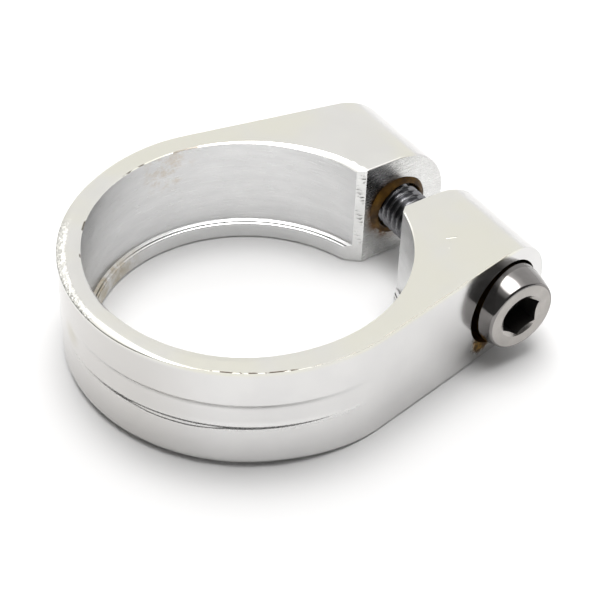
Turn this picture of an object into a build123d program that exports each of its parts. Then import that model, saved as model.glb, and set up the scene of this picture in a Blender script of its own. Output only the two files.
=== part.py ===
from build123d import *
import math
import os

# Seatpost clamp: a one-piece aluminium split collar with an inward stop lip,
# drawn together by one socket-head bolt across its two ears.
# Millimetres. Origin on the bore axis, on the lip's ledge where the seat
# tube's end stops. +Z runs up the bore, +X points to the ears and the split,
# and the bolt's head is on the -Y side.

# ---- driving dimensions -------------------------------------------------
bore_r = 15.9            # clamps a 31.8 mm seat tube
lip_r = 15.3             # stop lip, 0.6 mm proud of the bore
lip_h = 2.1              # lip height
total_h = 12.0           # collar height
ring_r = 18.2            # outside of the ring
taper_deg = 11.2         # lean of the ears' outer faces
slot_half = 3.25         # half the width of the split
ear_r = total_h / 2      # the ears' ends are full rounds
ear_x = 20.2             # centre of those rounds
bolt_x = 20.45           # bolt axis
z_bot = -lip_h
z_top = total_h - lip_h
bolt_z = z_bot + total_h / 2

edge_r = 0.45            # polished-over outer edges
slot_edge_r = 0.4        # edges of the split faces
bore_round_w = 0.85      # roll-over of the bore's top edge, across
bore_round_h = 0.45      # and down
lip_edge = 0.15          # broken inner edges of the lip

facet_b = (16.2, slot_half)      # corner facet: on the split face
facet_a = (15.4, 3.95)           # and on the bore wall

band_depth = 0.24        # shallow turned band on the head side of the ring
band_low = z_bot + 5.17  # its floor, lower and upper border
band_top = z_bot + 7.1
band_low_side = 2.4      # width of its sloped sides, per depth
band_top_side = 3.6
band_mid_deg = 44.0      # its middle, from the back towards the head side
band_reach_deg = 53.0    # it is cut off-centre and runs out this far each way

near_hole_r = 2.75       # clearance hole, head side
near_x = bolt_x - 0.12   # the head side's hole and counterbore stand off the bolt a little
tapped_r = 2.55          # thread's major radius, far side
recess_r = 3.15          # countersink of the threaded hole in the split
pocket_r = 4.7           # counterbore for the head
seat_y = -12.23          # its floor

thread_r = 2.5           # M5
bolt_len = 25.0
head_r = 4.3             # barrel-sided socket head: its base
head_top_r = 3.8         # and its front
head_base_h = 1.2        # straight part of the head
head_bulge = 0.12        # how far its side bows out
head_h = 5.0
head_edge = 0.2
hex_af = 4.0
hex_deep = 2.6
hex_turn = 24.0          # one corner of the socket, from +X towards +Z
hex_mouth_r = 2.42       # countersunk mouth of the socket
hex_mouth_h = 0.16

os.makedirs("parts", exist_ok=True)

beta = math.radians(taper_deg)
tx, ty = ring_r * math.sin(beta), ring_r * math.cos(beta)   # tangent point
ear_end = ear_x + ear_r
end_y = ty - (ear_end - tx) * math.tan(beta)

# ---- collar -------------------------------------------------------------
with BuildPart() as clamp_collar:
    # outline in plan: ring, and tangent tapered ears
    with BuildSketch(Plane.XY.offset(z_bot)):
        with BuildLine():
            ThreePointArc((tx, ty), (-ring_r, 0), (tx, -ty))
            Line((tx, -ty), (ear_end, -end_y))
            Line((ear_end, -end_y), (ear_end, end_y))
            Line((ear_end, end_y), (tx, ty))
        make_face()
    extrude(amount=total_h)
    # side view: the ears end in a full round about the bolt
    with BuildSketch(Plane.XZ):
        with BuildLine():
            Line((-30, z_bot), (ear_x, z_bot))
            ThreePointArc((ear_x, z_bot), (ear_end, bolt_z), (ear_x, z_top))
            Line((ear_x, z_top), (-30, z_top))
            Line((-30, z_top), (-30, z_bot))
        make_face()
    extrude(amount=40, both=True, mode=Mode.INTERSECT)
    # outer edges, all round the ring and both ears
    outer = [
        e for e in clamp_collar.edges()
        if not (abs(e.center().X - ear_x) < 1e-3 and abs(e.center().Y) < 1)
        and abs(e.center().X - ear_end) > 1e-3
        and e.length > 5
        and not (abs(e.center().Z - bolt_z) < 1e-3 and e.bounding_box().size.X < 1e-3)
    ]
    fillet(outer, edge_r)
    # the split
    with BuildSketch(Plane.XY.offset(z_bot)):
        with Locations((19, 0)):
            Rectangle(22, 2 * slot_half)
    extrude(amount=total_h, mode=Mode.SUBTRACT)
    slot_edges = [
        e for e in clamp_collar.edges()
        if abs(abs(e.center().Y) - slot_half) < 1e-3 and e.center().X > 12
        and e.bounding_box().size.Y < 1e-3
    ]
    fillet(slot_edges, slot_edge_r)
    # bore with its lip and the rolled-over top edge
    rr = (bore_round_w**2 + bore_round_h**2) / (2 * bore_round_h)
    half = math.asin(bore_round_w / rr) / 2
    mid = (bore_r + bore_round_w - rr * math.sin(half),
           z_top - rr * (1 - math.cos(half)))
    with BuildSketch(Plane.XZ):
        with BuildLine():
            Polyline((0, z_bot - 1), (lip_r + lip_edge, z_bot - 1),
                     (lip_r + lip_edge, z_bot), (lip_r, z_bot + lip_edge),
                     (lip_r, -lip_edge), (lip_r + lip_edge, 0), (bore_r, 0),
                     (bore_r, z_top - bore_round_h))
            ThreePointArc((bore_r, z_top - bore_round_h), mid,
                          (bore_r + bore_round_w, z_top))
            Polyline((bore_r + bore_round_w, z_top),
                     (bore_r + bore_round_w, z_top + 1), (0, z_top + 1),
                     (0, z_bot - 1))
        make_face()
    revolve(axis=Axis.Z, mode=Mode.SUBTRACT)
    # flats left by the slotting cutter on the bore's corners
    ax, ay = facet_a
    bx, by = facet_b
    ex, ey = ax + 0.6 * (ax - bx), ay + 0.6 * (ay - by)
    with BuildSketch(Plane.XY.offset(z_bot)) as corner:
        with BuildLine():
            Polyline((bx, by - 0.2), (bx, by), (ax, ay), (ex, ey), (14, ey),
                     (14, by - 0.2), close=True)
        make_face()
        mirror(about=Plane.XZ)
    extrude(amount=total_h, mode=Mode.SUBTRACT)
    # shallow band, turned about a shifted centre so that it runs out by itself
    shift = band_depth / (1 - math.cos(math.radians(band_reach_deg)))
    band_r = ring_r - band_depth + shift
    mid_a = math.radians(180 + band_mid_deg)
    cx, cy = -shift * math.cos(mid_a), -shift * math.sin(mid_a)
    start = mid_a - math.radians(band_reach_deg + 2)
    d = (math.cos(start), math.sin(start), 0)
    w = 0.6
    with BuildSketch(Plane(origin=(cx, cy, 0), x_dir=d,
                           z_dir=(d[1], -d[0], 0))):
        with BuildLine():
            Polyline((band_r, band_low),
                     (band_r + w, band_low - w * band_low_side),
                     (band_r + w, band_top + w * band_top_side),
                     (band_r, band_top), close=True)
        make_face()
    revolve(axis=Axis((cx, cy, 0), (0, 0, 1)),
            revolution_arc=2 * (band_reach_deg + 2), mode=Mode.SUBTRACT)
    # bolt hole: counterbore, clearance hole, threaded hole and its countersink
    with BuildSketch(Plane(origin=(near_x, 0, bolt_z),
                           x_dir=(1, 0, 0), z_dir=(0, 1, 0)).offset(seat_y)):
        Circle(pocket_r)
    extrude(amount=-12, mode=Mode.SUBTRACT)
    with BuildSketch(Plane(origin=(near_x, 0, bolt_z),
                           x_dir=(1, 0, 0), z_dir=(0, 1, 0))):
        Circle(near_hole_r)
    extrude(amount=-20, mode=Mode.SUBTRACT)
    with BuildSketch(Plane(origin=(bolt_x, 0, bolt_z), x_dir=(1, 0, 0),
                           z_dir=(0, 1, 0))):
        Circle(tapped_r)
    extrude(amount=25, mode=Mode.SUBTRACT)
    sink = recess_r - tapped_r
    with BuildSketch(Plane(origin=(bolt_x, 0, bolt_z), x_dir=(1, 0, 0),
                           z_dir=(0, 0, 1))):
        with BuildLine():
            Polyline((0, 0), (recess_r, 0), (recess_r, slot_half),
                     (tapped_r, slot_half + sink), (0, slot_half + sink),
                     close=True)
        make_face()
    revolve(axis=Axis((bolt_x, 0, bolt_z), (0, 1, 0)), mode=Mode.SUBTRACT)
clamp_collar.part.label = "clamp_collar"

# ---- bolt ---------------------------------------------------------------
under = seat_y
face_y = under - head_h
tip_y = under + bolt_len
with BuildPart() as clamp_bolt:
    with BuildSketch(Plane(origin=(bolt_x, 0, bolt_z), x_dir=(1, 0, 0),
                           z_dir=(0, 0, 1))):
        with BuildLine():
            front = (head_top_r, face_y + head_edge)
            base = (head_r, under - head_base_h)
            Polyline((0, face_y), (head_top_r - head_edge, face_y), front)
            ThreePointArc(front, ((front[0] + base[0]) / 2 + head_bulge,
                                  (front[1] + base[1]) / 2), base)
            Polyline(base, (head_r, under - 0.15),
                     (head_r - 0.15, under), (thread_r, under),
                     (thread_r, tip_y - 0.6), (thread_r - 0.6, tip_y),
                     (0, tip_y), (0, face_y))
        make_face()
    revolve(axis=Axis((bolt_x, 0, bolt_z), (0, 1, 0)))
    # countersunk mouth, hexagon socket and the drill point at its foot
    with BuildSketch(Plane(origin=(bolt_x, 0, bolt_z), x_dir=(1, 0, 0),
                           z_dir=(0, 0, 1))):
        with BuildLine():
            Polyline((0, face_y), (hex_mouth_r, face_y),
                     (hex_mouth_r - 1.73 * hex_mouth_h, face_y + hex_mouth_h),
                     (0, face_y + hex_mouth_h), close=True)
        make_face()
    revolve(axis=Axis((bolt_x, 0, bolt_z), (0, 1, 0)), mode=Mode.SUBTRACT)
    with BuildSketch(Plane(origin=(bolt_x, face_y, bolt_z), x_dir=(1, 0, 0),
                           z_dir=(0, -1, 0))):
        RegularPolygon(radius=hex_af / math.sqrt(3), side_count=6,
                       rotation=hex_turn)
    extrude(amount=-hex_deep, mode=Mode.SUBTRACT)
    with BuildSketch(Plane(origin=(bolt_x, 0, bolt_z), x_dir=(1, 0, 0),
                           z_dir=(0, 0, 1))):
        with BuildLine():
            Polyline((0, face_y + hex_deep - 0.2),
                     (hex_af / 2 - 0.1, face_y + hex_deep - 0.2),
                     (hex_af / 2 - 0.1, face_y + hex_deep),
                     (0, face_y + hex_deep + 0.9), close=True)
        make_face()
    revolve(axis=Axis((bolt_x, 0, bolt_z), (0, 1, 0)), mode=Mode.SUBTRACT)
clamp_bolt.part.label = "clamp_bolt"

for piece in (clamp_collar, clamp_bolt):
    export_step(piece.part, "parts/" + piece.part.label + ".step")
    b = piece.part.bounding_box()
    print(piece.part.label, len(piece.part.solids()), "solid",
          round(piece.part.volume, 2), "mm3", b.min, b.max)
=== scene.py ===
import math

import bpy
import numpy as np
from mathutils import Matrix, Vector
from mathutils.geometry import delaunay_2d_cdt


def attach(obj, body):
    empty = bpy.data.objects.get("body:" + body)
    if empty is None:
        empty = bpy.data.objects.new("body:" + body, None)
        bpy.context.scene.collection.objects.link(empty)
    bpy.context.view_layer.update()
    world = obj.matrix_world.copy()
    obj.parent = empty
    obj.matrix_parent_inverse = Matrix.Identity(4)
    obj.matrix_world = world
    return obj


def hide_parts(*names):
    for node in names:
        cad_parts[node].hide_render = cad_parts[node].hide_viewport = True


# Seatpost clamp: polished split collar and its socket-head bolt. The meshes
# below follow the construction's own dimensions, in millimetres, and are
# written in metres. Every corner carries the exact normal of its surface, so
# the mirror polish stays clean.

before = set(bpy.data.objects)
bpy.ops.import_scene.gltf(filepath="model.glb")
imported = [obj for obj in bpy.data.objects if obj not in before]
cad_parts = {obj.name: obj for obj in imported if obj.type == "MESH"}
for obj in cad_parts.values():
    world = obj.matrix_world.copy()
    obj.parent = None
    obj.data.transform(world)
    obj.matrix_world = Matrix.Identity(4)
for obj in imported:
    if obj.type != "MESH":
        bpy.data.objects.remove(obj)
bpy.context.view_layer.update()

# ---- dimensions (mm), as in the construction ------------------------------
BORE, LIP, RING = 15.9, 15.3, 18.2
Z_BOT, Z_TOP = -2.1, 9.9
Z_MID = (Z_BOT + Z_TOP) / 2
BETA = math.radians(11.2)
SLOT = 3.25
EAR_X, EAR_R = 20.2, 6.0
BOLT_X = 20.45
ROLL_W, ROLL_H, ROLL_T = 0.9, 0.43, 0.30   # roll-over of the bore's top edge, and its first slope
SPLIT_R = 0.2                        # broken edges of the split
LIP_B = 0.30                         # round of the lip's lower edge
FACET_A, FACET_B = (15.4, 3.95), (16.2, 3.25)
BAND_LOW, BAND_TOP, BAND_D = Z_BOT + 5.17, Z_BOT + 8.1, 0.24
BAND_MID, BAND_REACH = math.radians(44.0), math.radians(53.0)
HOLE_NEAR, HOLE_FAR, SINK_R, POCKET_R = 2.75, 2.55, 3.15, 4.62
NEAR_X = -0.17                     # the head side's hole and pocket stand off the bolt by this
SEAT_Y = 12.23
TX, TY = RING * math.sin(BETA), RING * math.cos(BETA)
OUT_N = np.array([math.sin(BETA), math.cos(BETA), 0.0])

POLISH, BORE_M, LIP_M, SPLIT_M, FACET_M, RESIDUE = range(6)


def unit(v):
    v = np.asarray(v, float)
    return v / np.maximum(np.linalg.norm(v, axis=-1, keepdims=True), 1e-12)


# ---- mesh writer ------------------------------------------------------------
class Piece:
    """Faces with exact corner normals. Equal points share one vertex."""

    def __init__(self):
        self.co, self.index = [], {}
        self.faces, self.normals, self.mats, self.wear = [], [], [], []

    def vertex(self, p):
        key = tuple(int(round(c * 4000)) for c in p)
        if key not in self.index:
            self.index[key] = len(self.co)
            self.co.append(p)
        return self.index[key]

    def face(self, pts, nrm, mat):
        ids, ns = [], []
        for p, n in zip(pts, nrm):
            i = self.vertex(p)
            if i not in ids:
                ids.append(i)
                ns.append(n)
        if len(ids) < 3:
            return
        c = [np.asarray(self.co[i]) for i in ids]
        area = sum(np.cross(c[k] - c[0], c[k + 1] - c[0]) for k in range(1, len(c) - 1))
        if np.dot(area, sum(ns)) < 0:
            ids.reverse()
            ns.reverse()
        self.faces.append(ids)
        self.normals.append(ns)
        self.mats.append(mat)
        self.wear.append([0.0] * len(ids))

    def grid(self, P, N, mat, wear=None):
        P, N = np.asarray(P, float), np.asarray(N, float)
        m, n = P.shape[:2]
        ids = np.array([self.vertex(p) for p in P.reshape(-1, 3)]).reshape(m, n)
        flat_w = np.tile(wear if wear is not None else [0.0] * n, m)
        idx = np.arange(m * n).reshape(m, n)
        q = np.stack([idx[:-1, :-1], idx[1:, :-1], idx[1:, 1:], idx[:-1, 1:]], -1).reshape(-1, 4)
        flat_p, flat_n, flat_i = P.reshape(-1, 3), N.reshape(-1, 3), ids.reshape(-1)
        area = np.cross(flat_p[q[:, 2]] - flat_p[q[:, 0]], flat_p[q[:, 3]] - flat_p[q[:, 1]])
        back = np.einsum("ij,ij->i", area, flat_n[q].sum(1)) < 0
        q[back] = q[back][:, ::-1]
        for a in q:
            i = flat_i[a].tolist()
            if len(set(i)) == 4:
                self.faces.append(i)
                self.normals.append(flat_n[a])
                self.mats.append(mat)
                self.wear.append(flat_w[a])
            else:
                self.face(flat_p[a], flat_n[a], mat)

    def sheet(self, loops, to3d, normal, mat):
        """A flat face: loops[0] is its outline, the others are holes."""
        pts, edges = [], []
        for loop in loops:
            k = len(pts)
            pts += [Vector((float(a), float(b))) for a, b in loop]
            edges += [(k + i, k + (i + 1) % len(loop)) for i in range(len(loop))]
        v, _, f, *_ = delaunay_2d_cdt(pts, edges, [], 0, 1e-7)
        n = np.asarray(normal, float)
        for tri in f:
            c = sum((v[i] for i in tri), Vector((0, 0))) / len(tri)
            if inside(loops[0], c) and not any(inside(h, c) for h in loops[1:]):
                self.face([np.asarray(to3d(v[i][0], v[i][1]), float) for i in tri], [n] * len(tri), mat)

    def build(self, name, materials):
        mesh = bpy.data.meshes.new(name)
        mesh.from_pydata([tuple(float(x) * 0.001 for x in p) for p in self.co], [], self.faces)
        for m in materials:
            mesh.materials.append(m)
        mesh.polygons.foreach_set("material_index", self.mats)
        mesh.polygons.foreach_set("use_smooth", [True] * len(self.faces))
        mesh.normals_split_custom_set(unit(np.concatenate([np.asarray(n, float) for n in self.normals])).tolist())
        mesh.attributes.new("wear", "FLOAT", "CORNER").data.foreach_set("value", np.concatenate(self.wear))
        mesh.update()
        obj = bpy.data.objects.new(name, mesh)
        bpy.context.scene.collection.objects.link(obj)
        return obj


def inside(loop, p):
    hit = False
    x, y = p[0], p[1]
    for (x0, y0), (x1, y1) in zip(loop, list(loop[1:]) + [loop[0]]):
        if (y0 > y) != (y1 > y) and x < (x1 - x0) * (y - y0) / (y1 - y0) + x0:
            hit = not hit
    return hit


# ---- collar -------------------------------------------------------------------
ROLL_K = 2 * (ROLL_H / ROLL_W - ROLL_T) / ROLL_W      # how fast the roll-over steepens
FACET_D = unit(np.array(FACET_A) - np.array(FACET_B))
FACET_N = np.array([-FACET_D[1], FACET_D[0]])
if FACET_N @ np.array([-1.0, -0.3]) < 0:
    FACET_N = -FACET_N                                # points into the open side

# outer edges, by the angle from the back: full on the ring, small on the ears
EAR_PHI = math.pi / 2 + BETA
BOT_RING, BOT_EAR = 1.15, 0.35


def ease(phi, a, b):
    v = min(max((math.degrees(abs(phi)) - a) / (b - a), 0.0), 1.0)
    return v * v * (3 - 2 * v)


def bottom_r(phi):
    """Radius of the bottom edge's round."""
    return BOT_RING + (BOT_EAR - BOT_RING) * ease(phi, 66.0, 102.0)


def out_y(x):
    return TY - (x - TX) * math.tan(BETA)


def arc_drop(d, r):
    """Quarter round: drop below the face at distance d from the edge, and its tilt."""
    if d >= r:
        return 0.0, 0.0
    s = (r - d) / r
    return r - math.sqrt(max(r * r - (r - d) ** 2, 0.0)), math.asin(min(s, 1.0))


def roll_size(phi, near):
    """Size of the bore's roll-over: it runs out along both sides and grows again towards the far ear."""
    if near:
        return 1.0 - 0.85 * ease(phi, 46.0, 88.0)
    grow = min(max((math.degrees(phi) - 92.0) / 71.0, 0.0), 1.0)
    return 1.0 - 0.88 * ease(phi, 10.0, 50.0) + 0.73 * grow ** 1.7


def roll_drop(rho, size, even):
    """Drop and tilt of the roll-over at a radius; it steepens inwards unless it is even."""
    w = (BORE + ROLL_W * size - rho) / size
    if w <= 0:
        return 0.0, 0.0
    t, k = ROLL_T + 0.06 * even, ROLL_K * (1 - even)
    return size * (t * w + k * w * w / 2), math.atan(t + k * w)


def edge_drop(d):
    """Broken edge of the split: drop below the face at distance d from it, and its tilt."""
    if d >= SPLIT_R:
        return 0.0, 0.0
    w = 1 - d / SPLIT_R
    return SPLIT_R * (0.25 * w + 0.25 * w * w), math.atan(0.25 + 0.5 * w)


def outer_profile_top(phi):
    """(distance in from the wall, drop, tilt) from the top face down to the wall:
    a gentle polished slope that ends in a small round, both much narrower on the ears.
    The angle is positive on the head side."""
    v = ease(phi, 14.0, 46.0) if phi > 0 else ease(phi, 60.0, 96.0)
    wide = 0.75 if phi > 0 else 0.75 + 0.25 * ease(phi, 0.0, 30.0)
    width, fall, small = wide + (0.15 - wide) * v, 0.20 - 0.196 * v, 0.06 - 0.04 * v
    A = (width ** 2 + fall ** 2) / (2 * fall)
    rows = []
    for k in range(8):
        w = width * k / 7
        rows.append((small + width - w, A - math.sqrt(A * A - w * w), math.asin(w / A)))
    d0, h0, t0 = rows[-1]
    # small round that takes over at the slope's tilt; the wall's edge stays crisp
    t1 = math.radians(72.0 - 24.0 * v)
    r = d0 / (math.sin(t1) - math.sin(t0))
    for k in range(1, 7):
        t = t0 + (t1 - t0) * k / 6
        rows.append((d0 - r * (math.sin(t) - math.sin(t0)), h0 + r * (math.cos(t0) - math.cos(t)), t))
    rows[-1] = (0.0, rows[-1][1], t1)
    return rows


def outer_profile_bottom(r):
    rows = []
    n = len(EAR_TOP) - 1
    for k in range(n + 1):
        t = math.pi / 2 * k / n
        rows.append((r * (1 - math.sin(t)), r * (1 - math.cos(t)), t))
    return rows


EAR_TOP = outer_profile_top(EAR_PHI)
EAR_BOT = outer_profile_bottom(BOT_EAR)
N_IN = 18


def soft_max(parts):
    """Smooth maximum of drops, with the tilt vectors blended the same way."""
    p = 4.0
    tot = sum(d ** p for d, _, _ in parts)
    if tot <= 0:
        return 0.0, np.zeros(2)
    drop = tot ** (1 / p)
    g = np.zeros(2)
    for d, t, e in parts:
        if d > 0:
            g = g + math.tan(min(t, 1.5533)) * (d / drop) ** (p - 1) * np.asarray(e)
    return drop, g


def inner_drop(x, y, top, size, even):
    rho = math.hypot(x, y)
    er = -np.array([x, y]) / rho
    parts = []
    if top:
        d, t = roll_drop(rho, size, even)
    else:
        d, t = arc_drop(rho - LIP, LIP_B)
    parts.append((d, t, er))
    if x > 13.5:
        d, t = edge_drop(max(y - SLOT, 0.0))
        parts.append((d, t, np.array([0.0, -1.0])))
        df = -float((np.array([x, y]) - np.array(FACET_B)) @ FACET_N)
        d, t = edge_drop(max(df, 0.0))
        parts.append((d, t, FACET_N))
    return soft_max(parts)


def facet_point(rho):
    lo, hi = -1.0, 3.0
    b, a = np.array(FACET_B), np.array(FACET_A)
    for _ in range(60):
        mid = (lo + hi) / 2
        if np.linalg.norm(b + mid * (a - b)) > rho:
            lo = mid
        else:
            hi = mid
    return b + lo * (a - b)


FACET_L = facet_point(LIP)
NR, NE, NL, NF, N3, NT = 260, 96, 3, 9, 18, 72
T_ANG = math.pi / 2 - BETA
A_ANG = math.atan2(FACET_A[1], FACET_A[0])
L_ANG = math.atan2(FACET_L[1], FACET_L[0])
OUT_A = 15.2


def stations(top):
    """Pairs (inner point, outer point, outward direction) along the top or bottom face."""
    rows = []
    r = BORE if top else LIP
    for k in range(NR + 1):
        a = math.pi + (T_ANG - math.pi) * k / NR
        c = np.array([math.cos(a), math.sin(a)])
        rows.append((r * c, RING * c, c, 0.0))
    end = A_ANG if top else L_ANG
    for k in range(1, NE + 1):
        u = k / NE
        a = T_ANG + (end - T_ANG) * u
        x = TX + (OUT_A - TX) * u
        rows.append((r * np.array([math.cos(a), math.sin(a)]), np.array([x, out_y(x)]), OUT_N[:2], 0.0))
    pts = []
    if not top:
        pts += [FACET_L + (np.array(FACET_A) - FACET_L) * k / NL for k in range(1, NL + 1)]
    pts += [np.array(FACET_A) + (np.array(FACET_B) - np.array(FACET_A)) * k / NF for k in range(1, NF + 1)]
    for k, p in enumerate(pts):
        u = (k + 1) / len(pts)
        x = OUT_A + (FACET_B[0] - OUT_A) * u
        rows.append((p, np.array([x, out_y(x)]), OUT_N[:2], u))
    for k in range(1, N3 + 1):
        x = FACET_B[0] + (EAR_X - FACET_B[0]) * k / N3
        rows.append((np.array([x, SLOT]), np.array([x, out_y(x)]), OUT_N[:2], 1.0))
    return rows


def split_offsets():
    out = [SPLIT_R * (1 - math.cos(math.pi / 2 * j / (N_IN - 4))) for j in range(N_IN - 3)]
    return out + [SPLIT_R + 0.3, SPLIT_R + 0.9, SPLIT_R + 1.8]


def line_offset(I, e, rho):
    """How far along I + t e the radius rho is reached."""
    b = float(I @ e)
    c = float(I @ I) - rho * rho
    return -b + math.sqrt(max(b * b - c, 0.0))


def cap(top, near=False):
    """Grid of the top or bottom face with its rolled edges, and its inner and outer borders."""
    P, N = [], []
    zf, up = (Z_TOP, 1.0) if top else (Z_BOT, -1.0)
    so = split_offsets()
    for I, O, n2, u in stations(top):
        phi = math.pi - math.atan2(n2[1], n2[0])
        rows = outer_profile_top(phi if near else -phi) if top else outer_profile_bottom(bottom_r(phi))
        psi = math.pi - math.atan2(I[1], I[0])
        size, even = roll_size(psi, near), ease(psi, 0.0, 14.0) if near else 0.0
        d = O - I
        L = float(np.linalg.norm(d))
        e = d / L
        r0 = float(np.linalg.norm(I))
        levels = []
        span = max((BORE + ROLL_W * size if top else LIP + LIP_B) - r0, 0.02)
        for j in range(N_IN - 3):
            f = j / (N_IN - 4)
            f = f if top else 1 - math.cos(math.pi / 2 * f)
            levels.append(line_offset(I, e, r0 + span * f) if j else 0.0)
        last = levels[-1]
        room = min(0.9, (L - last) * 0.2)
        levels += [last + room * 0.33, last + room * 0.66, last + room]
        offs = [(1 - u) * a + u * b for a, b in zip(levels, so)]
        pr, nr = [], []
        for t in offs:
            q = I + e * t
            drop, g = inner_drop(q[0], q[1], top, size, even)
            pr.append((q[0], q[1], zf - up * drop))
            nr.append(unit(np.array([g[0], g[1], up])))
        c = max(float(e @ n2), 0.2)
        for dist, drop, tilt in rows:
            q = O - e * (dist / c)
            pr.append((q[0], q[1], zf - up * drop))
            nr.append(np.array([n2[0] * math.sin(tilt), n2[1] * math.sin(tilt), up * math.cos(tilt)]))
        P.append(pr)
        N.append(nr)
    return np.array(P), np.array(N)


def ear_end(P0, P1):
    """The ear's round end, swept from the top face's last row to the bottom's."""
    so = split_offsets()
    P, N = [], []
    for k in range(NT + 1):
        th = math.pi * k / NT
        s, c = math.sin(th), math.cos(th)
        up = np.array([s, 0.0, c])
        w = k / NT
        w = w * w * (3 - 2 * w)
        pr, nr = [], []
        for t in so:
            drop, tilt = edge_drop(t)
            R = EAR_R - drop
            pr.append((EAR_X + R * s, SLOT + t, Z_MID + R * c))
            nr.append(up * math.cos(tilt) + np.array([0, -1.0, 0]) * math.sin(tilt))
        for a, b in zip(EAR_TOP, EAR_BOT):
            dist, drop, tilt = ((1 - w) * p + w * q for p, q in zip(a, b))
            R = EAR_R - drop
            x = EAR_X + R * s
            pr.append((x, out_y(x) - dist / math.cos(BETA), Z_MID + R * c))
            nr.append(unit(up * math.cos(tilt) + OUT_N * math.sin(tilt)))
        P.append(pr)
        N.append(nr)
    P, N = np.array(P), np.array(N)
    P[0], P[-1] = P0, P1
    return P, N


BAND_WIDE, BAND_SIDE = 0.55, 1.4     # upper side's even slope would reach this; lower side: width per depth
BAND_EASY = 0.45                     # width of the easy slope above the lower side
SOFT = 0.055                        # how far the lower side's corners are rounded


def band_depth(phi):
    """Depth of the shallow turned band; it is cut off-centre and runs out at both ends."""
    d = phi - BAND_MID
    if abs(d) >= BAND_REACH:
        return 0.0
    return BAND_D * (math.cos(d) - math.cos(BAND_REACH)) / (1 - math.cos(BAND_REACH))


def band_top(phi):
    return BAND_TOP - 0.2 * min(max((math.degrees(phi) - 30.0) / 60.0, 0.0), 1.0)


def round_ramp(v, e):
    """max(v, 0) with its corner rounded over +-e."""
    if v <= -e:
        return 0.0
    if v >= e:
        return v
    return (v + e) ** 2 / (4 * e)


def band_shelf(phi):
    """Width of the narrow shelf half-way up the band's lower side, where the cutter stepped."""
    return 0.02 + 0.17 * ease(max(phi, 0.0), 20.0, 32.0) * (1 - ease(max(phi, 0.0), 40.0, 54.0))


def band_breaks(phi):
    """(height, share of the depth) at the corners of the band's lower side, going up."""
    k = 0.86 - 0.26 * ease(max(phi, 0.0), 38.0, 58.0)
    w, s = max(BAND_SIDE * k * band_depth(phi), 0.11), band_shelf(phi)
    z = BAND_LOW - w - s
    return [(z, 0.0), (z + 0.45 * w, 0.46 * k), (z + 0.45 * w + s, 0.5 * k), (BAND_LOW, k), (BAND_LOW + BAND_EASY, 1.0)]


def band_cut(phi, z):
    """How deep the band is below the ring's wall at an angle and a height."""
    dep = band_depth(phi)
    if dep <= 0:
        return 0.0
    # upper side: crisp edge, then a hollow that runs out into the floor
    t = round_ramp(band_top(phi) - z, 0.03) / BAND_WIDE
    up = dep * (t if t < 0.5 else 1 - max(1.5 - t, 0.0) ** 2 / 2)
    # lower side: two steep steps with a shelf between and an easy slope above, their corners rounded
    zs, cs = zip(*band_breaks(phi))
    low = dep * float(np.mean(np.interp([z + SOFT * k / 3 for k in range(-3, 4)], zs, cs)))
    return min(up, low)


def wall_heights(phi):
    """Heights of the wall's rows at an angle: close together over the band's two sides."""
    z1, z0 = Z_TOP - outer_profile_top(phi)[-1][1], Z_BOT + bottom_r(phi)
    t = band_top(phi)
    ups = [t + 0.04, t + 0.012, t - 0.012, t - 0.04] + [t - 0.04 - 1.5 * BAND_WIDE * k / 10 for k in range(1, 11)]
    e = BAND_LOW + BAND_EASY
    dns = [e + SOFT + 0.03, e + SOFT, e, e - SOFT, (e + BAND_LOW) / 2, BAND_LOW + SOFT + 0.03]
    dns += list(np.linspace(BAND_LOW + SOFT, band_breaks(phi)[0][0] - SOFT, 22))
    dns.append(dns[-1] - 0.03)
    return [z1, (z1 + ups[0]) / 2] + ups + dns + [(dns[-1] + z0) / 2, z0]


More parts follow.
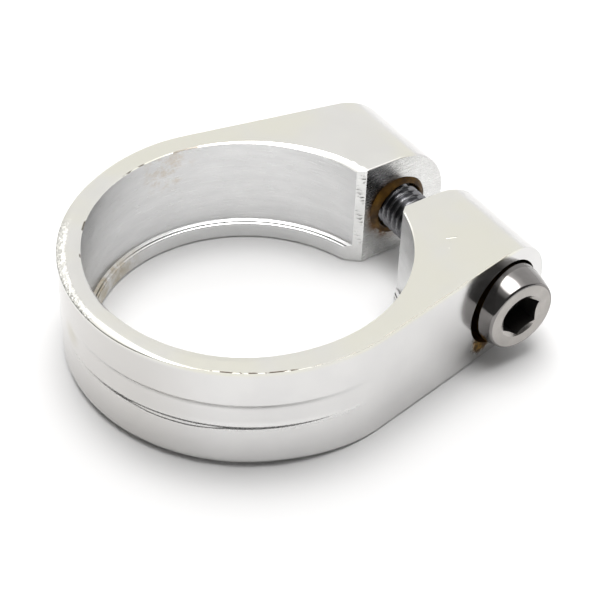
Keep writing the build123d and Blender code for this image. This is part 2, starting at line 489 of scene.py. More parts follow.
def collar_half(piece, sg):
    """One half of the collar, y > 0, mirrored to y < 0 where sg is -1."""
    flip = np.array([1.0, sg, 1.0])
    near = sg < 0

    def grid(P, N, mat, wear=None):
        piece.grid(np.asarray(P) * flip, np.asarray(N) * flip, mat, wear)

    def sheet(loops, to3d, normal, mat):
        piece.sheet(loops, lambda a, b: np.asarray(to3d(a, b)) * flip, np.asarray(normal) * flip, mat)

    (PT, NTn), (PB, NBn) = cap(True, near), UNDERSIDE
    # the rubbed outer edge: strongest on the slope, gone on the face
    rubbed = [0.0] * N_IN + [0.0, 0.35, 0.7] + [1.0] * (len(EAR_TOP) - 3)
    grid(PT, NTn, POLISH, rubbed)
    grid(PB, NBn, POLISH)
    PE, NE_ = ear_end(PT[-1], PB[-1])
    grid(PE, NE_, POLISH)

    # outside of the ring, with the turned band on its near side
    P, N = [], []
    side = 1.0 if near else -1.0
    for k in range(NR + 1):
        a = math.pi + (T_ANG - math.pi) * k / NR
        c = np.array([math.cos(a), math.sin(a), 0.0])
        tang = np.array([-math.sin(a), math.cos(a), 0.0])
        phi = (math.pi - a) * side
        pr, nr = [], []
        for z in wall_heights(phi):
            r = RING - band_cut(phi, z)
            along_a = (band_cut(phi - 1e-3 * side, z) - band_cut(phi + 1e-3 * side, z)) / 2e-3
            along_z = (band_cut(phi, z + 2e-3) - band_cut(phi, z - 2e-3)) / 4e-3
            pr.append((r * c[0], r * c[1], z))
            nr.append(unit(c + tang * (along_a / r) + np.array([0, 0, along_z])))
        P.append(pr)
        N.append(nr)
    P = np.array(P)
    P[:, 0], P[:, -1] = PT[:NR + 1, -1], PB[:NR + 1, -1]
    grid(P, N, POLISH)
    t_column = P[-1]

    # bore wall
    n_bore = NR + NE
    rows = 7
    P, N = [], []
    for k in range(n_bore + 1):
        p = PT[k, 0]
        rad = unit(np.array([p[0], p[1], 0.0]))
        z = np.linspace(p[2], 0.0, rows)
        P.append([(BORE * rad[0], BORE * rad[1], h) for h in z])
        N.append([-rad] * rows)
    P = np.array(P)
    P[:, 0] = PT[:n_bore + 1, 0]
    grid(P, N, BORE_M)
    bore_column = P[-1]

    # ledge and lip: their ends lie on the corner facet
    def lip_row(rho, z):
        end = facet_point(rho)
        ea = math.atan2(end[1], end[0])
        out = []
        for k in range(n_bore + 1):
            if k <= NR:
                a = math.pi + (T_ANG - math.pi) * k / NR
            else:
                a = T_ANG + (ea - T_ANG) * (k - NR) / NE
            out.append((rho * math.cos(a), rho * math.sin(a), z))
        out[-1] = (end[0], end[1], z)
        return np.array(out)

    def radial(row):
        return unit(row * np.array([1, 1, 0]))

    upz = np.array([0, 0, 1.0])
    outer = lip_row(BORE, 0.0)
    outer[:, :2] = np.array([[BORE * math.cos(math.atan2(p[1], p[0])), BORE * math.sin(math.atan2(p[1], p[0]))] for p in PT[:n_bore + 1, 0]])
    # (radius, height, tilt): sloped seat, a fine step, a narrow chamfer and the lip's wall
    prof = [(BORE, 0.0, 20.0), (BORE - 0.02, -0.008, 23.0), (BORE - 0.30, -0.127, 23.0), (BORE - 0.31, -0.134, 45.0),
            (BORE - 0.395, -0.219, 45.0), (BORE - 0.405, -0.226, 27.0), (BORE - 0.53, -0.29, 27.0), (BORE - 0.57, -0.32, 50.0),
            (BORE - 0.592, -0.365, 75.0), (LIP, -0.425, 90.0)]
    prof = [(r, z, math.radians(t)) for r, z, t in prof]
    R_, N_ = [], []
    for i, (rho, z, t) in enumerate(prof):
        row = outer if i == 0 else lip_row(rho, z)
        R_.append(row)
        N_.append(upz * math.cos(t) - radial(row) * math.sin(t))
    P, N = np.swapaxes(np.array(R_), 0, 1), np.swapaxes(np.array(N_), 0, 1)
    grid(P, N, LIP_M)
    ledge_end = P[-1]
    top = lip_row(LIP, prof[-1][1])
    bot = PB[:n_bore + 1, 0]
    P = np.array([[(1 - f) * a + f * b for f in np.linspace(0, 1, 5)] for a, b in zip(top, bot)])
    N = np.array([[-radial(a[None])[0]] * 5 for a in top])
    grid(P, N, LIP_M)
    lip_column = P[-1]

    # corner facet with its chatter marks
    rng = np.random.default_rng(5 if near else 11)
    fn = np.array([FACET_N[0], FACET_N[1], 0.0])
    b0 = NR + NE
    low = [PB[b0 + k, 0] for k in range(NL + NF + 1)]
    high = [PT[b0 + k, 0] for k in range(NF + 1)]
    nz = 120
    phase = rng.uniform(0, 6.28, 6)

    def chatter(u, z):
        fade = min(1.0, 6 * u * (1 - u)) if 0 < u < 1 else 0.0
        edge = min(1.0, max(0.0, (Z_TOP - 0.55 - z) / 0.3)) * min(1.0, max(0.0, (z - Z_BOT - 0.4) / 0.3))
        w = math.sin(2 * math.pi * z / 0.46 + 0.5 * math.sin(1.9 * z + phase[0]) + 0.6 * math.sin(7 * u + phase[2]))
        keep = 0.55 + 0.45 * math.sin(2.3 * z + phase[1] + 4 * u)
        return -0.045 * fade * edge * max(w, -0.2) * max(keep, 0.15)

    P, N = [], []
    for k in range(NF + 1):
        u = k / NF
        zt, zb = high[k][2], 0.0
        col, nc = [], []
        for z in np.linspace(zt, zb, nz):
            h = chatter(u, z)
            sl = (chatter(u, z + 0.01) - chatter(u, z - 0.01)) / 0.02
            col.append(np.array([high[k][0], high[k][1], z]) + fn * h)
            nc.append(unit(fn - upz * sl))
        P.append(col)
        N.append(nc)
    P = np.array(P)
    grid(P, N, FACET_M)
    upper_b = P[-1]
    base_row = P[:, -1]
    # the part of the facet below the ledge, which also closes the lip's end
    outline = [(-i, p[2]) for i, p in ((0.0, high[0] * [1, 1, 0]),)]
    along = np.array([FACET_D[0], FACET_D[1], 0.0])
    b3 = np.array([FACET_B[0], FACET_B[1], 0.0])

    def to_uv(p):
        q = np.asarray(p) - b3
        return float(q @ along), float(q[2])

    loop = [to_uv(p) for p in base_row[::-1]]                 # B to A at the ledge's height
    loop += [to_uv(p) for p in ledge_end[1:]]                 # along the ledge and its round
    loop += [to_uv(p) for p in lip_column[1:]]                # down the lip
    loop += [to_uv(p) for p in low[1:]]                       # along the bottom to B
    sheet([loop], lambda a, b: b3 + along * a + upz * b, fn, FACET_M)

    # split face, with the bolt's hole
    hole_x = BOLT_X + (NEAR_X if near else 0.0)

    def circle(r, n=96):
        return [(hole_x + r * math.cos(2 * math.pi * k / n), Z_MID + r * math.sin(2 * math.pi * k / n)) for k in range(n)]

    first = NR + NE + NF
    firstb = NR + NE + NL + NF
    loop = [(p[0], p[2]) for p in PT[first:, 0]]
    loop += [(p[0], p[2]) for p in PE[1:-1, 0]]
    loop += [(p[0], p[2]) for p in PB[firstb:, 0][::-1]]
    loop += [(p[0], p[2]) for p in upper_b[::-1][:-1]]
    r_in = HOLE_NEAR if near else SINK_R
    sheet([loop, circle(r_in)], lambda a, b: (a, SLOT, b), (0, -1, 0), SPLIT_M)

    # tapered outer face, with the bolt's hole
    loop = [(p[0], p[2]) for p in PT[NR:, -1]]
    loop += [(p[0], p[2]) for p in PE[1:-1, -1]]
    loop += [(p[0], p[2]) for p in PB[NR:, -1][::-1]]
    loop += [(p[0], p[2]) for p in t_column[::-1][1:-1]]
    r_out = POCKET_R if near else HOLE_FAR
    n_c = 128
    sheet([loop, circle(r_out, n_c)], lambda a, b: (a, out_y(a), b), OUT_N, POLISH)

    def ring(r, y, n):
        """A circle about the bolt, at a depth or on the tapered face where y is None."""
        pts = []
        for a, b in circle(r, n):
            pts.append((a, out_y(a) if y is None else y, b))
        pts.append(pts[0])
        return np.array(pts)

    def toward_axis(row):
        return -unit((row - np.array([hole_x, 0, Z_MID])) * np.array([1, 0, 1]))

    def tube(rows, mat):
        P = np.array([r for r, _ in rows])
        N = np.array([n for _, n in rows])
        grid(P, N, mat)

    if near:
        rim, mid, low_ = ring(POCKET_R, None, n_c), ring(POCKET_R, 13.0, n_c), ring(POCKET_R, SEAT_Y, n_c)
        tube([(rim, toward_axis(rim)), (mid, toward_axis(mid)), (low_, toward_axis(low_))], RESIDUE)
        seat_in = ring(HOLE_NEAR, SEAT_Y, n_c)
        up_y = np.tile([0, 1.0, 0], (n_c + 1, 1))
        tube([(low_, up_y), (seat_in, up_y)], RESIDUE)
        h96 = ring(HOLE_NEAR, SEAT_Y, 96)
        end = ring(HOLE_NEAR, SLOT, 96)
        tube([(h96, toward_axis(h96)), (end, toward_axis(end))], SPLIT_M)
    else:
        a, b = ring(SINK_R, SLOT, 96), ring(HOLE_FAR, SLOT + SINK_R - HOLE_FAR, 96)
        cone = unit(toward_axis(a) + np.array([0, -1.0, 0]))
        tube([(a, cone), (b, cone)], RESIDUE)
        c = ring(HOLE_FAR, 9.0, 96)
        tube([(b, toward_axis(b)), (c, toward_axis(c))], RESIDUE)
        d, e = ring(HOLE_FAR, 9.0, n_c), ring(HOLE_FAR, None, n_c)
        tube([(d, toward_axis(d)), (e, toward_axis(e))], SPLIT_M)
        # dried thread compound: a collar of it stands round the bolt, thickest at the upper left
        rng = np.random.default_rng(23)
        ph = rng.uniform(0, 6.28, 4)
        n_b, prof = 192, [(3.40, 0.01), (3.32, 0.08), (3.20, 0.15), (3.08, 0.20), (2.96, 0.25), (2.86, 0.29), (2.78, 0.30), (2.70, 0.22), (2.62, 0.0), (2.58, -0.4)]
        rows = []
        for r, h in prof:
            row = []
            for k in range(n_b + 1):
                t = 2 * math.pi * (k % n_b) / n_b
                lump = 0.05 * math.sin(2 * t + ph[0]) + 0.03 * math.sin(5 * t + ph[1]) + 0.015 * math.sin(9 * t + ph[2])
                side = max(math.cos(t - math.radians(150.0)), 0.0) ** 2
                rr = 2.56 + (r - 2.56) * (0.95 + lump + 0.3 * side)
                hh = h * (1 + lump + 0.9 * side) if h > 0.02 else h
                row.append((BOLT_X + rr * math.cos(t), SLOT - hh, Z_MID + rr * math.sin(t)))
            rows.append(row)
        P = np.array(rows)
        du, dv = np.gradient(P, axis=0), np.gradient(P, axis=1)
        dv[:, 0] = dv[:, -1] = P[:, 1] - P[:, -2]
        N = unit(np.cross(du, dv))
        N[N[..., 1] > 0] *= -1.0
        grid(P, N, RESIDUE)


# ---- bolt -----------------------------------------------------------------------
CHROME, FACE_M, SOCKET_M, THREAD_M, MOUTH_M = range(5)
FACE_Y, TIP_Y = -17.23, 12.77
HEX_AF, HEX_DEEP, HEX_TURN = 4.0, 2.6, math.radians(24.0)
MOUTH_R = 2.42                       # countersunk mouth of the socket
PITCH, MAJOR, MINOR = 0.8, 2.5, 2.03


def around(r, y, a):
    return np.array([BOLT_X + r * math.cos(a), y, Z_MID + r * math.sin(a)])


def out_dir(a, ny=0.0):
    s = math.sqrt(max(1 - ny * ny, 0))
    return np.array([s * math.cos(a), ny, s * math.sin(a)])


def head_profile():
    """(y, r, ny) down the head's side: straight base, barrel side, small front round."""
    y0 = -SEAT_Y
    rows = [(y0, 4.12, 0.9), (y0 - 0.03, 4.21, 0.7), (y0 - 0.12, 4.28, 0.3), (y0 - 0.23, 4.3, 0.0), (y0 - 1.1, 4.3, 0.0)]
    # the side bows in, more and more towards the front
    t1 = math.radians(19.0)
    y1, L = FACE_Y + 0.25, FACE_Y + 0.25 - rows[-1][0]
    r1 = 4.3
    for k in range(1, 19):
        r1 += math.tan(t1 * ((k - 0.5) / 18) ** 1.5) * L / 18
        rows.append((y1 - L * (1 - k / 18), r1, -math.sin(t1 * (k / 18) ** 1.5)))
    rr = 0.25
    for k in range(1, 8):
        t = t1 + (math.pi / 2 - t1) * k / 7
        y = y1 - rr * (math.sin(t) - math.sin(t1))
        r = r1 - rr * (math.cos(t1) - math.cos(t))
        rows.append((y, r, -math.sin(t)))
    k = (FACE_Y - y1) / (rows[-1][0] - y1)
    out = []
    for y, r, ny in rows:
        out.append((y1 + (y - y1) * k if y < y1 else y, r, ny))
    return out


def thread_r(y, a):
    """Radius of the thread's surface: right-hand, flat-topped 60 degree form."""
    t = math.pi / 2 - a
    f = (y / PITCH - t / (2 * math.pi)) % 1.0
    d = abs(f - 0.5) * 2                     # 0 at the crest's middle, 1 at the root
    v = min(max((d - 0.08) / 0.72, 0.0), 1.0)
    s = v * v * (3 - 2 * v) * 0.35 + v * 0.65
    r = MAJOR - 0.01 - (MAJOR - MINOR) * s
    end = min(max((TIP_Y - y) / 0.6, 0.0), 1.0)
    return min(r, 1.9 + (MAJOR - 1.9) * end)


def make_bolt():
    piece = Piece()
    n = 192
    ang = [2 * math.pi * k / n for k in range(n)] + [0.0]
    prof = head_profile()
    P = np.array([[around(r, y, a) for a in ang] for y, r, _ in prof])
    N = np.array([[out_dir(a, ny) for a in ang] for _, _, ny in prof])
    piece.grid(P, N, CHROME)
    # under the head
    y0, r0, _ = prof[0]
    P = np.array([[around(r, y0, a) for a in ang] for r in (r0, 2.5)])
    piece.grid(P, np.tile([0, 1.0, 0], (2, n + 1, 1)), CHROME)
    # front face round the socket
    rf = prof[-1][1]
    corner = HEX_AF / 2 / math.cos(math.pi / 6)
    per = 12

    def hexagon(scale):
        pts = []
        for k in range(6):
            a0, a1 = HEX_TURN + k * math.pi / 3, HEX_TURN + (k + 1) * math.pi / 3
            p0 = corner * scale * np.array([math.cos(a0), math.sin(a0)])
            p1 = corner * scale * np.array([math.cos(a1), math.sin(a1)])
            pts += [p0 + (p1 - p0) * j / per for j in range(per)]
        return pts

    inner = hexagon(1.0)
    mouth = [MOUTH_R * unit(p) for p in inner]
    outer = [(rf * math.cos(a), rf * math.sin(a)) for a in ang[:-1]]
    piece.sheet([outer, [tuple(p) for p in mouth]], lambda a, b: (BOLT_X + a, FACE_Y, Z_MID + b), (0, -1, 0), FACE_M)

    def hex_row(pts, deep):
        rows = [np.array([BOLT_X + p[0], FACE_Y + d, Z_MID + p[1]]) for p, d in zip(pts, deep)]
        return rows + [rows[0]]

    # the countersink meets the six flats in shallow scallops
    deep = [(MOUTH_R - float(np.linalg.norm(p))) / 1.73 for p in inner]
    rim, cut = hex_row(mouth, [0.0] * len(mouth)), hex_row(inner, deep)
    cone = [unit(np.array([-p[0], -1.73 * np.linalg.norm(p), -p[1]])) for p in mouth]
    cone.append(cone[0])
    piece.grid(np.array([rim, cut]), np.array([cone, cone]), MOUTH_M)
    foot = hex_row(inner, [HEX_DEEP] * len(inner))
    for k in range(6):
        a = HEX_TURN + (k + 0.5) * math.pi / 3
        na = np.array([-math.cos(a), 0.0, -math.sin(a)])
        for j in range(per):
            i = k * per + j
            piece.face([cut[i], cut[i + 1], foot[i + 1], foot[i]], [na] * 4, SOCKET_M)
    # socket's floor: flat rim and drill point
    fl = FACE_Y + HEX_DEEP
    circ = [(1.85 * math.cos(a), 1.85 * math.sin(a)) for a in ang[:-1:4]]
    piece.sheet([[tuple(p) for p in inner], circ], lambda a, b: (BOLT_X + a, fl, Z_MID + b), (0, -1, 0), SOCKET_M)
    a4 = ang[:-1:4] + [0.0]
    tip = np.array([BOLT_X, fl + 0.9, Z_MID])
    for a, b in zip(a4, a4[1:]):
        na, nb = (unit(np.array([-0.9 * math.cos(t), -1.85, -0.9 * math.sin(t)])) for t in (a, b))
        piece.face([around(1.85, fl, a), around(1.85, fl, b), tip], [na, nb, unit(na + nb)], SOCKET_M)
    # threaded shank
    m = 72
    ta = [2 * math.pi * k / m for k in range(m)] + [0.0]
    y_in = y0
    ys = [y_in] + list(np.arange(y_in + 0.2, TIP_Y - 0.001, PITCH / 14)) + [TIP_Y]

    def shank(y, a):
        r = thread_r(y, a)
        f = min(max((y - y_in) / 0.7, 0.0), 1.0)
        return MAJOR * (1 - f) + r * f

    R = np.array([[shank(y, a) for a in ta] for y in ys])
    P = np.array([[around(R[i, j], y, a) for j, a in enumerate(ta)] for i, y in enumerate(ys)])
    N = np.zeros_like(P)
    for i, y in enumerate(ys):
        for j, a in enumerate(ta):
            ry = (shank(y + 0.01, a) - shank(y - 0.01, a)) / 0.02
            ra = (shank(y, a + 0.004) - shank(y, a - 0.004)) / 0.008
            er = out_dir(a)
            et = np.array([-math.sin(a), 0, math.cos(a)])
            N[i, j] = unit(er - et * (ra / R[i, j]) - np.array([0, ry, 0]))
    piece.grid(P, N, THREAD_M)
    loop = [(P[-1, j, 0], P[-1, j, 2]) for j in range(m)]
    piece.sheet([loop], lambda a, b: (a, TIP_Y, b), (0, 1, 0), THREAD_M)
    return piece


# ---- materials --------------------------------------------------------------------
class Nodes:
    def __init__(self, name):
        self.mat = bpy.data.materials.new(name)
        self.mat.use_nodes = True
        self.t = self.mat.node_tree
        self.t.nodes.clear()
        self.out = self.t.nodes.new("ShaderNodeOutputMaterial")
        self.bsdf = self.t.nodes.new("ShaderNodeBsdfPrincipled")
        self.t.links.new(self.bsdf.outputs["BSDF"], self.out.inputs["Surface"])
        self.co = self.t.nodes.new("ShaderNodeTexCoord").outputs["Object"]

    def link(self, a, b):
        if isinstance(a, (int, float)):
            b.default_value = a
        elif isinstance(a, tuple):
            b.default_value = a
        else:
            self.t.links.new(a, b)

    def math(self, op, a, b=0.0, c=0.0, clamp=False):
        n = self.t.nodes.new("ShaderNodeMath")
        n.operation = op
        n.use_clamp = clamp
        for i, v in enumerate((a, b, c)):
            self.link(v, n.inputs[i])
        return n.outputs[0]

    def xyz(self, v=None):
        n = self.t.nodes.new("ShaderNodeSeparateXYZ")
        self.link(v if v is not None else self.co, n.inputs[0])
        return n.outputs[0], n.outputs[1], n.outputs[2]

    def vec(self, x, y, z):
        n = self.t.nodes.new("ShaderNodeCombineXYZ")
        for i, v in enumerate((x, y, z)):
            self.link(v, n.inputs[i])
        return n.outputs[0]

    def scale(self, v, s):
        n = self.t.nodes.new("ShaderNodeVectorMath")
        n.operation = "MULTIPLY"
        self.link(v, n.inputs[0])
        n.inputs[1].default_value = s
        return n.outputs[0]

    def noise(self, v, scale, detail=3.0, rough=0.55, distort=0.0):
        n = self.t.nodes.new("ShaderNodeTexNoise")
        self.link(v, n.inputs["Vector"])
        n.inputs["Scale"].default_value = scale
        n.inputs["Detail"].default_value = detail
        n.inputs["Roughness"].default_value = rough
        n.inputs["Distortion"].default_value = distort
        return n.outputs["Fac"]

    def ramp(self, v, a, b, lo=0.0, hi=1.0, smooth=True):
        n = self.t.nodes.new("ShaderNodeMapRange")
        n.interpolation_type = "SMOOTHSTEP" if smooth else "LINEAR"
        self.link(v, n.inputs[0])
        for i, x in enumerate((a, b, lo, hi)):
            n.inputs[1 + i].default_value = x
        return n.outputs[0]

    def mix(self, f, a, b):
        n = self.t.nodes.new("ShaderNodeMix")
        n.data_type = "RGBA"
        self.link(f, n.inputs[0])
        self.link(a, n.inputs[6])
        self.link(b, n.inputs[7])
        return n.outputs[2]

    def attr(self, name):
        n = self.t.nodes.new("ShaderNodeAttribute")
        n.attribute_name = name
        return n.outputs["Fac"]

    def times(self, *v):
        out = v[0]
        for k in v[1:]:
            out = self.math("MULTIPLY", out, k)
        return out

    def near_line(self, x, y, p, q, half):
        """1 on the line from p to q in a plane (millimetres), 0 beyond half its width."""
        dx, dy = (q[0] - p[0]) * 0.001, (q[1] - p[1]) * 0.001
        ex, ey = self.math("SUBTRACT", x, p[0] * 0.001), self.math("SUBTRACT", y, p[1] * 0.001)
        t = self.math("ADD", self.times(ex, dx / (dx * dx + dy * dy)), self.times(ey, dy / (dx * dx + dy * dy)), clamp=True)
        ex, ey = self.math("SUBTRACT", ex, self.times(t, dx)), self.math("SUBTRACT", ey, self.times(t, dy))
        d = self.math("SQRT", self.math("ADD", self.times(ex, ex), self.times(ey, ey)))
        return self.ramp(d, half * 0.001, half * 0.0003)

    def spot(self, x, y, z, at, outer, inner):
        """1 within the inner radius of a point (millimetres), 0 beyond the outer one."""
        e = [self.math("SUBTRACT", v, c * 0.001) for v, c in zip((x, y, z), at)]
        d = self.math("ADD", self.math("ADD", self.times(e[0], e[0]), self.times(e[1], e[1])), self.times(e[2], e[2]))
        return self.ramp(self.math("SQRT", d), outer * 0.001, inner * 0.001)

    def bump(self, h, strength, dist, normal=None):
        n = self.t.nodes.new("ShaderNodeBump")
        n.inputs["Strength"].default_value = strength
        n.inputs["Distance"].default_value = dist
        self.link(h, n.inputs["Height"])
        if normal is not None:
            self.link(normal, n.inputs["Normal"])
        return n.outputs[0]

    def set(self, **k):
        names = {"color": "Base Color", "rough": "Roughness", "metal": "Metallic", "normal": "Normal", "spec": "Specular IOR Level"}
        for key, v in k.items():
            self.link(v, self.bsdf.inputs[names[key]])
        return self.mat


def rgb(r, g, b):
    return (r, g, b, 1.0)


def polished():
    m = Nodes("collar_polish")
    x, y, z = m.xyz()
    # hand polish: broad soft waves and very fine hairlines
    wave = m.noise(m.co, 140.0, 2.0, 0.5)
    hair = m.noise(m.scale(m.co, (1.0, 1.0, 9.0)), 900.0, 4.0, 0.7)
    fine = m.noise(m.co, 5200.0, 2.0, 0.6)
    wear = m.attr("wear")
    n = m.bump(wave, 1.0, 0.00003)
    n = m.bump(hair, 0.10, 0.00001, n)
    # outer edge rubbed dull at the back, and two short scratches on the head side's ear
    knock = m.noise(m.co, 3600.0, 3.0, 0.6)
    dull = m.times(wear, m.ramp(x, -0.0085, -0.0110), m.ramp(y, -0.0035, 0.0010), m.ramp(y, 0.0128, 0.0100))
    n = m.bump(m.times(knock, dull), 1.0, 0.00012, n)
    top = m.ramp(z, 0.0097, 0.00985)
    scratch = m.math("MAXIMUM", m.near_line(x, y, (16.6, -9.5), (17.45, -9.8), 0.10), m.near_line(x, y, (16.5, -10.1), (15.9, -10.75), 0.09))
    n = m.bump(m.times(scratch, top), 1.0, 0.00003, n)
    tone = m.noise(m.co, 230.0, 4.0, 0.6)
    col = m.mix(m.ramp(tone, 0.35, 0.7), rgb(0.705, 0.70, 0.695), rgb(0.735, 0.73, 0.722))
    # faint warm tint on the top faces, in broad patches
    top_warm_patches = m.noise(m.co, 75.0, 3.0, 0.6)
    col = m.mix(m.times(m.ramp(top_warm_patches, 0.36, 0.62, 0.25, 0.9), m.ramp(z, 0.0093, 0.0097)), col, rgb(0.745, 0.735, 0.65))
    col = m.mix(m.times(dull, m.ramp(knock, 0.56, 0.44)), col, rgb(0.60, 0.595, 0.56))
    col = m.mix(m.times(dull, m.ramp(knock, 0.50, 0.62)), col, rgb(0.95, 0.945, 0.89))
    # painted shade: the back of the wall is darker towards the left, below the top face, where it mirrors the shaded
    # floor; an olive patch, also darkened as painted shade, and a pit
    painted_shade_left_wall = m.times(m.ramp(x, -0.0115, -0.0170, 0.0, 0.75), m.ramp(z, 0.0096, 0.0092))
    col = m.mix(painted_shade_left_wall, col, rgb(0.585, 0.57, 0.55))
    # an olive patch on the left wall that also serves as painted shade there
    olive_patch_and_shade = m.times(m.spot(x, y, z, (-18.06, 2.2, 4.9), 1.9, 0.3), m.ramp(tone, 0.3, 0.6, 0.35, 0.8))
    col = m.mix(olive_patch_and_shade, col, rgb(0.50, 0.475, 0.40))
    col = m.mix(m.spot(x, y, z, (-16.9, -6.77, 4.39), 0.22, 0.1), col, rgb(0.30, 0.28, 0.25))
    # dried compound: caught along the head side's edge, in dashes at the front, and a blot below the head
    grain = m.noise(m.co, 1500.0, 4.0, 0.7)
    caught = m.noise(m.co, 900.0, 3.0, 0.6)
    edge = m.times(wear, m.ramp(y, -0.0122, -0.0134))
    stain = m.times(edge, m.ramp(caught, 0.40, 0.60, 0.0, 0.6))
    front = m.times(edge, m.ramp(y, -0.0132, -0.0138), m.ramp(x, -0.0050, -0.0062))
    dash = m.times(front, m.ramp(caught, 0.44, 0.47), m.ramp(caught, 0.60, 0.57))
    bare = m.times(front, m.ramp(caught, 0.575, 0.60))
    ex, ez = m.math("SUBTRACT", x, 0.0177), m.math("SUBTRACT", z, 0.0004)
    blot = m.math("SQRT", m.math("ADD", m.times(ex, ex), m.times(ez, ez)))
    blot = m.math("ADD", blot, m.ramp(grain, 0.3, 0.7, -0.0003, 0.0003))
    blot = m.times(m.ramp(blot, 0.0017, 0.0011), m.ramp(y, -0.011, -0.012))
    # a few nicks along the bore's far edge
    rho = m.math("SQRT", m.math("ADD", m.times(x, x), m.times(y, y)))
    nick = m.times(m.ramp(rho, 0.01608, 0.01600), m.ramp(z, 0.0088, 0.0090), m.ramp(m.noise(m.co, 330.0, 2.0, 0.5), 0.585, 0.61), m.ramp(y, 0.0, 0.004))
    col = m.mix(nick, col, rgb(0.20, 0.18, 0.155))
    col = m.mix(stain, col, rgb(0.64, 0.60, 0.50))
    col = m.mix(dash, col, rgb(0.12, 0.09, 0.065))
    col = m.mix(bare, col, rgb(0.97, 0.965, 0.93))
    col = m.mix(blot, col, m.mix(m.ramp(grain, 0.42, 0.62), rgb(0.07, 0.035, 0.005), rgb(0.34, 0.19, 0.03)))
    metal = m.math("SUBTRACT", 1.0, m.math("MAXIMUM", m.times(stain, 0.8), m.math("MAXIMUM", dash, blot)))
    rough = m.math("ADD", m.ramp(fine, 0.3, 0.75, 0.0, 0.04), m.ramp(hair, 0.35, 0.75, 0.12, 0.17))
    rough = m.math("ADD", rough, m.times(m.math("SUBTRACT", 1.0, metal), 0.25))
    rough = m.math("ADD", rough, m.times(dull, m.ramp(knock, 0.35, 0.65, 0.15, 0.40)))
    rough = m.math("ADD", rough, m.times(bare, 0.4))
    # the turned band's lower side was not reached by the polish
    low = (BAND_LOW - 0.6) * 0.001, (BAND_LOW - 0.45) * 0.001, (BAND_LOW + 0.2) * 0.001, (BAND_LOW + 0.05) * 0.001
    unpolished = m.times(m.ramp(z, low[0], low[1]), m.ramp(z, low[2], low[3]), m.ramp(y, 0.0050, 0.0), m.ramp(x, 0.0040, 0.0))
    rough = m.math("ADD", rough, m.times(unpolished, 0.12))
    return m.set(color=col, rough=rough, metal=metal, normal=n, spec=0.2)


def turned(name, base, rough, lines, tint, where, cover=(0.48, 0.66)):
    """Turned surface: long fine lines round the axis, a tinted stretch between two angles."""
    m = Nodes(name)
    x, y, z = m.xyz()
    ang = m.math("ARCTAN2", y, x)
    li = m.noise(m.vec(m.math("MULTIPLY", ang, 0.0007), 0.0, z), lines, 4.0, 0.7)
    li2 = m.noise(m.vec(m.math("MULTIPLY", ang, 0.008), 0.0, m.math("MULTIPLY", z, 2.0)), 420.0, 3.0, 0.6)
    blotch = m.noise(m.co, 650.0, 5.0, 0.75)
    n = m.bump(li, 0.5, 0.000016)
    c = m.mix(m.ramp(li2, 0.3, 0.75), rgb(*[c * 0.92 for c in base]), rgb(*base))
    a0, a1, a2, a3, z0, z1 = where
    mask = m.times(m.ramp(ang, math.radians(a0), math.radians(a1)), m.ramp(ang, math.radians(a3), math.radians(a2)),
                   m.ramp(z, z0 * 0.001, z1 * 0.001), m.ramp(blotch, *cover))
    c = m.mix(mask, c, rgb(*tint))
    r = m.math("ADD", m.ramp(li, 0.3, 0.7, -0.04, 0.05), rough)
    return m.set(color=c, rough=r, metal=1.0, normal=n)


def residue():
    m = Nodes("dried_compound")
    a = m.noise(m.co, 700.0, 4.0, 0.6)
    c = m.mix(m.ramp(a, 0.35, 0.7), rgb(0.050, 0.022, 0.003), rgb(0.155, 0.078, 0.009))
    n = m.bump(a, 0.3, 0.00006)
    return m.set(color=c, rough=m.ramp(a, 0.3, 0.7, 0.5, 0.34), metal=0.0, normal=n, spec=0.2)


def steel(name, base, r0, r1, sc=(1.0, 1.0, 1.0), lines=1500.0, bump=0.1):
    m = Nodes(name)
    a = m.noise(m.scale(m.co, sc), lines, 4.0, 0.65)
    b = m.noise(m.co, 500.0, 3.0, 0.6)
    c = m.mix(m.ramp(b, 0.3, 0.7), rgb(*[c * 0.88 for c in base]), rgb(*base))
    n = m.bump(a, bump, 0.00002)
    return m.set(color=c, rough=m.ramp(a, 0.3, 0.7, r0, r1), metal=1.0, normal=n)


def split_face():
    """Faces of the split: fine milling lines, browned round the threaded hole."""
    m = Nodes("collar_split")
    x, y, z = m.xyz()
    a = m.noise(m.scale(m.co, (1.0, 1.0, 6.0)), 900.0, 3.0, 0.6)
    b = m.noise(m.co, 700.0, 4.0, 0.65)
    c = m.mix(m.ramp(b, 0.3, 0.7), rgb(0.64, 0.64, 0.63), rgb(0.72, 0.72, 0.71))
    ex, ez = m.math("SUBTRACT", x, BOLT_X * 0.001), m.math("SUBTRACT", z, Z_MID * 0.001)
    d = m.math("SQRT", m.math("ADD", m.times(ex, ex), m.times(ez, ez)))
    brown = m.times(m.ramp(d, 0.0047, 0.0033), m.ramp(x, 0.0212, 0.0185), m.ramp(y, 0.0030, 0.0032), m.ramp(b, 0.32, 0.54, 0.3, 1.0))
    c = m.mix(brown, c, rgb(0.20, 0.10, 0.035))
    n = m.bump(a, 0.3, 0.000012)
    return m.set(color=c, rough=m.ramp(a, 0.3, 0.7, 0.22, 0.32), metal=1.0, normal=n)


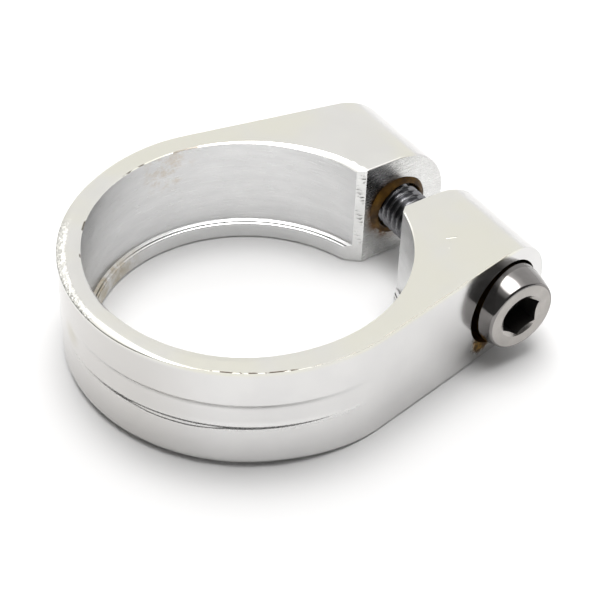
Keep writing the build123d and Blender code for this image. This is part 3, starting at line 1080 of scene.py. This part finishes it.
UNDERSIDE = cap(False)
collar = Piece()
collar_half(collar, 1.0)
collar_half(collar, -1.0)
collar_obj = collar.build("clamp_collar_polished", [
    polished(),
    turned("collar_bore", (0.73, 0.73, 0.73), 0.30, 9000.0, (0.62, 0.575, 0.52), (76.0, 84.0, 94.0, 102.0, 4.5, 7.0)),
    turned("collar_lip", (0.75, 0.75, 0.745), 0.22, 6000.0, (0.50, 0.45, 0.36), (98.0, 118.0, 175.0, 179.0, -3.0, -2.0), (0.30, 0.62)),
    split_face(),
    steel("collar_facet", (0.76, 0.76, 0.75), 0.13, 0.22, bump=0.05),
    residue(),
])
bolt_obj = make_bolt().build("clamp_bolt_threaded", [
    steel("bolt_polish", (0.235, 0.225, 0.22), 0.07, 0.12, bump=0.03),
    steel("bolt_face", (0.44, 0.42, 0.40), 0.26, 0.40, (6.0, 1.0, 1.0), 1400.0, 0.2),
    steel("bolt_socket", (0.10, 0.095, 0.09), 0.4, 0.6),
    steel("bolt_thread", (0.21, 0.21, 0.22), 0.10, 0.17, bump=0.03),
    steel("bolt_mouth", (0.45, 0.43, 0.41), 0.14, 0.24),
])
for obj, body, node, slot in ((collar_obj, "collar", "clamp_collar", "collar_aluminium"), (bolt_obj, "bolt", "clamp_bolt", "bolt_steel")):
    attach(obj, body)
    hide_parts(node)

# ---- floor ------------------------------------------------------------------------
bm = bpy.data.meshes.new("floor")
s, z = 1.5, Z_BOT * 0.001
bm.from_pydata([(-s, -s, z), (s, -s, z), (s, s, z), (-s, s, z)], [], [(0, 1, 2, 3)])
floor = bpy.data.objects.new("floor", bm)
bpy.context.scene.collection.objects.link(floor)
fm = Nodes("floor_white")
bm.materials.append(fm.set(color=rgb(0.92, 0.92, 0.92), rough=0.6, metal=0.0, spec=0.1))

# ---- light ------------------------------------------------------------------------
world = bpy.data.worlds.new("studio")
bpy.context.scene.world = world
world.use_nodes = True
wt = world.node_tree
wt.nodes.clear()
wo = wt.nodes.new("ShaderNodeOutputWorld")
bg = wt.nodes.new("ShaderNodeBackground")
wt.links.new(bg.outputs[0], wo.inputs[0])
tc = wt.nodes.new("ShaderNodeTexCoord")


def along(direction):
    d = wt.nodes.new("ShaderNodeVectorMath")
    d.operation = "DOT_PRODUCT"
    wt.links.new(tc.outputs["Generated"], d.inputs[0])
    d.inputs[1].default_value = direction
    return d.outputs["Value"]


def step(v, a, b, lo=0.0, hi=1.0):
    r = wt.nodes.new("ShaderNodeMapRange")
    r.interpolation_type = "SMOOTHSTEP"
    wt.links.new(v, r.inputs[0])
    for i, x in enumerate((a, b, lo, hi)):
        r.inputs[1 + i].default_value = x
    return r.outputs[0]


def add(a, b, op="ADD"):
    n = wt.nodes.new("ShaderNodeMath")
    n.operation = op
    for i, v in enumerate((a, b)):
        if isinstance(v, (int, float)):
            n.inputs[i].default_value = v
        else:
            wt.links.new(v, n.inputs[i])
    return n.outputs[0]


# One soft lamp almost overhead with a glow round it, a pale backdrop behind and
# to the right, a weaker lamp behind at the left, and a dark room in front.
def aim(az, el):
    az, el = math.radians(az), math.radians(el)
    return math.cos(el) * math.cos(az), math.cos(el) * math.sin(az), math.sin(el)


def cosd(a):
    return math.cos(math.radians(a))


BACK, OVERHEAD = 33.0, aim(78.0, 85.0)
lamp = step(along(OVERHEAD), cosd(23.0), cosd(14.0), 0.0, 5.6)
glow = step(along(OVERHEAD), cosd(40.0), cosd(18.0), 0.0, 0.6)
turn = add(along(aim(BACK + 90.0, 0.0)), along(aim(BACK, 0.0)), "ARCTAN2")
turn = add(add(turn, turn, "ABSOLUTE"), 57.29578, "MULTIPLY")
backdrop = step(turn, 76.0, 47.0, 0.11, 1.01)
window = step(along(aim(106.0, 51.0)), cosd(26.0), cosd(12.0), 0.0, 1.1)
light = add(add(add(lamp, glow), backdrop), window)
wt.links.new(light, bg.inputs["Strength"])
bg.inputs["Color"].default_value = (1.0, 0.994, 0.988, 1.0)

# ---- camera -----------------------------------------------------------------------
AZ, EL, DIST, ROLL = math.radians(-34.774), math.radians(41.364), 171.934, math.radians(2.262)
target = Vector((7.354, 1.527, Z_BOT))
back = Vector((math.sin(AZ) * math.cos(EL), -math.cos(AZ) * math.cos(EL), math.sin(EL)))
right = Vector((math.cos(AZ), math.sin(AZ), 0.0))
upv = Vector((-math.sin(AZ) * math.sin(EL), math.cos(AZ) * math.sin(EL), math.cos(EL)))
r2 = right * math.cos(ROLL) + upv * math.sin(ROLL)
u2 = upv * math.cos(ROLL) - right * math.sin(ROLL)
place = (target + back * DIST) * 0.001
cam_data = bpy.data.cameras.new("camera")
cam_data.sensor_width = 36.0
cam_data.lens = 1676.748 / 600.0 * 36.0
cam_data.clip_start, cam_data.clip_end = 0.005, 20.0
cam = bpy.data.objects.new("camera", cam_data)
bpy.context.scene.collection.objects.link(cam)
m = Matrix.Identity(4)
for i in range(3):
    m[i][0], m[i][1], m[i][2], m[i][3] = r2[i], u2[i], back[i], place[i]
cam.matrix_world = m
bpy.context.scene.camera = cam

bpy.context.scene.view_settings.view_transform = "Standard"
bpy.context.scene.view_settings.look = "None"
